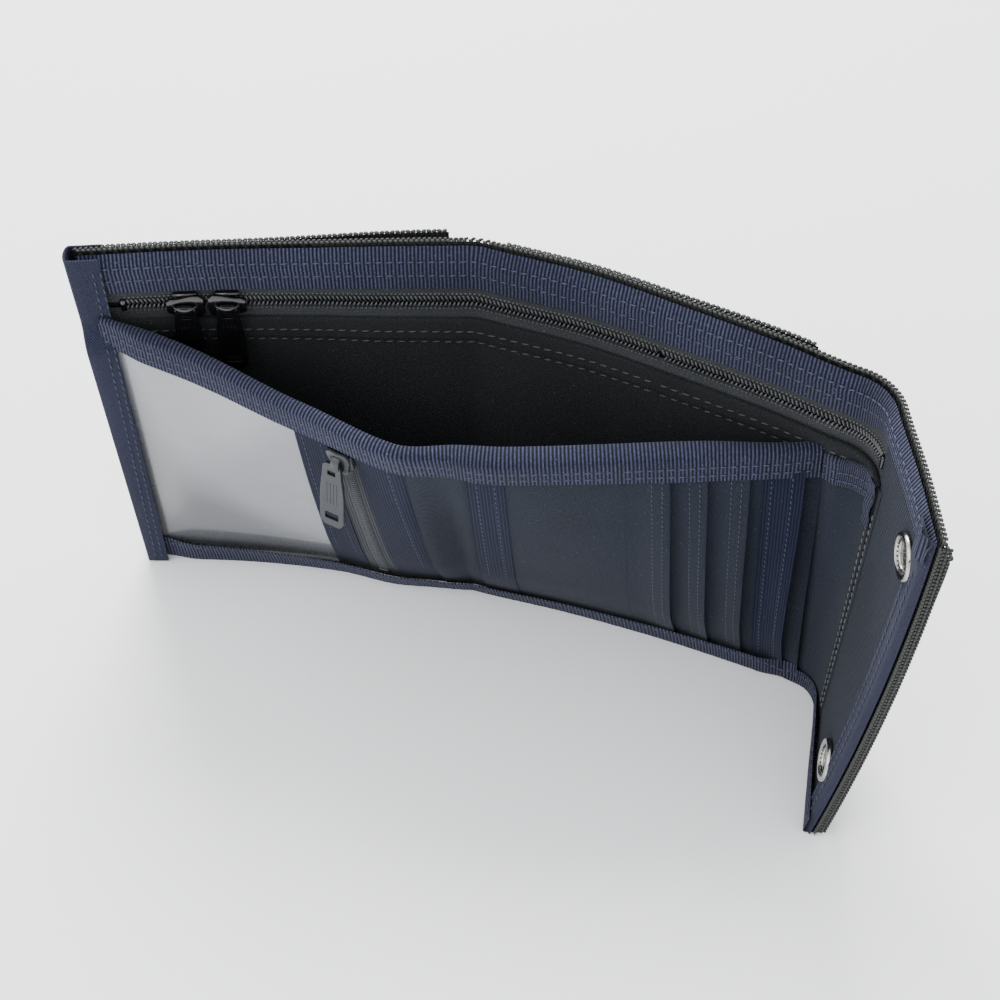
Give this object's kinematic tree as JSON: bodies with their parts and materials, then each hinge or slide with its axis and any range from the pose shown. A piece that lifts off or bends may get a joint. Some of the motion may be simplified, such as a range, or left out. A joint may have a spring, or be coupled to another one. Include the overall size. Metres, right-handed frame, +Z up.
{
  "type": "trifold wallet",
  "caption": "Woven trifold wallet with a bill compartment, zipped pockets, card pockets, a clear card window and a snap flap.",
  "frame": {"origin": "Centre of the bounding box's base, on the surface that the wallet stands on.", "axes": "+X along the middle panel from the left panel to the flap, +Y out of the middle panel's back, +Z up."},
  "size_m": [0.2134, 0.0706, 0.12],
  "materials": {
    "woven_shell": "coarse basket weave",
    "lining_cloth": "fine twill",
    "ribbed_cloth": "fine rib",
    "navy_tape": "grosgrain",
    "zip_tape": "twill tape",
    "coin_zip_tape": "fine rib",
    "zip_coil": "moulded coil",
    "clear_window": "frosted, translucent",
    "black_metal": "gloss",
    "gunmetal": "satin",
    "nickel": "antique satin"
  },
  "bodies": {
    "middle_panel": {"outer_shell_middle": "woven_shell", "outer_pocket_middle": "woven_shell", "zip_pocket_bag_middle": "lining_cloth", "lining_middle": "lining_cloth", "facing_tape_middle": "navy_tape", "zip_tape_upper_middle": "zip_tape", "zip_tape_lower_middle": "zip_tape", "zip_coil_middle": "zip_coil", "zip_stop_middle": "black_metal", "bottom_binding_middle": "navy_tape", "fold_lining": "ribbed_cloth"},
    "left_panel": {"outer_shell_left": "woven_shell", "outer_pocket_left": "woven_shell", "zip_pocket_bag_left": "lining_cloth", "lining_left": "lining_cloth", "facing_tape_left": "navy_tape", "zip_tape_upper_left": "zip_tape", "zip_tape_lower_left": "zip_tape", "zip_coil_left": "zip_coil", "zip_stop_left": "black_metal", "end_binding_left": "navy_tape", "bottom_binding_left": "navy_tape", "snap_stud_lower": "nickel", "snap_stud_upper": "nickel"},
    "left_front": {"front_backing_left": "lining_cloth", "top_binding_left": "navy_tape", "coin_pocket_bag": "lining_cloth", "card_window": "clear_window", "coin_zip_tape_outer": "coin_zip_tape", "coin_zip_tape_inner": "coin_zip_tape", "coin_zip_coil": "zip_coil", "coin_zip_stop": "gunmetal", "coin_strip": "navy_tape", "slip_pocket": "ribbed_cloth", "fold_strip": "navy_tape"},
    "card_wall": {"card_backing": "lining_cloth", "top_binding_middle": "navy_tape", "card_pocket_1": "navy_tape", "card_pocket_2": "ribbed_cloth", "card_pocket_3": "ribbed_cloth", "card_pocket_4": "ribbed_cloth"},
    "fold_web": {"fold_web": "lining_cloth"},
    "flap": {"outer_shell_flap": "woven_shell", "lining_flap": "ribbed_cloth", "outer_pocket_flap": "woven_shell", "flap_binding_top": "navy_tape", "flap_binding_bottom": "navy_tape", "flap_binding_end": "navy_tape", "snap_socket_lower": "nickel", "snap_socket_upper": "nickel", "snap_cap_lower": "nickel", "snap_cap_upper": "nickel"},
    "slider_a": {"zip_slider_a": "black_metal"},
    "pull_a": {"zip_pull_a": "black_metal"},
    "slider_b": {"zip_slider_b": "black_metal"},
    "pull_b": {"zip_pull_b": "black_metal"},
    "coin_slider": {"coin_zip_slider": "gunmetal"},
    "coin_pull": {"coin_zip_pull": "gunmetal"}
  },
  "joints": [
    {"name": "fold_1", "type": "hinge", "parent": "middle_panel", "child": "left_panel", "pos_m": [-0.01683, 0.02392, 0], "axis": [0, 0, 1], "range_deg": [-24, 156]},
    {"name": "fold_2", "type": "hinge", "parent": "middle_panel", "child": "flap", "pos_m": [0.07637, 0.02012, 0], "axis": [0, 0, -1], "range_deg": [-66, 114]},
    {"name": "left_front_tip", "type": "hinge", "parent": "left_panel", "child": "left_front", "pos_m": [-0.01919, 0.02922, 0.0055], "axis": [0.9135, 0.4067, 0], "range_deg": [-18.7, 2.9]},
    {"name": "card_wall_tip", "type": "hinge", "parent": "middle_panel", "child": "card_wall", "pos_m": [-0.01683, 0.02972, 0.0055], "axis": [1, 0, 0], "range_deg": [-9, 1.4]},
    {"name": "fold_web_tip", "type": "hinge", "parent": "card_wall", "child": "fold_web", "pos_m": [-0.01683, 0.02972, 0.0055], "axis": [1, 0, 0], "range_deg": [-8.5, 1.35]},
    {"name": "slider_a_slide", "type": "slide", "parent": "left_panel", "child": "slider_a", "axis": [-0.9135, -0.4067, 0], "range_m": [0, 0.0125]},
    {"name": "pull_a_hinge", "type": "hinge", "parent": "slider_a", "child": "pull_a", "pos_m": [-0.08152, 0.00081, 0.1025], "axis": [-0.9135, -0.4067, 0], "range_deg": [0, 172]},
    {"name": "slider_b_slide", "type": "slide", "parent": "left_panel", "child": "slider_b", "axis": [0.9135, 0.4067, 0], "range_m": [0, 0.05]},
    {"name": "pull_b_hinge", "type": "hinge", "parent": "slider_b", "child": "pull_b", "pos_m": [-0.0722, 0.00495, 0.1025], "axis": [-0.9135, -0.4067, 0], "range_deg": [0, 172]},
    {"name": "coin_slide", "type": "slide", "parent": "left_front", "child": "coin_slider", "axis": [-0.1391, 0.3125, -0.9397], "range_m": [0, 0.055]},
    {"name": "coin_pull_hinge", "type": "hinge", "parent": "coin_slider", "child": "coin_pull", "pos_m": [-0.03536, -0.00994, 0.07373], "axis": [-0.9135, -0.4067, 0], "range_deg": [0, 178]}
  ],
  "couplings": [
    {"joint": "left_front_tip", "follows": "fold_1", "ratio": -0.11987},
    {"joint": "card_wall_tip", "follows": "fold_1", "ratio": -0.057692},
    {"joint": "fold_web_tip", "follows": "fold_1", "ratio": -0.054487}
  ]
}
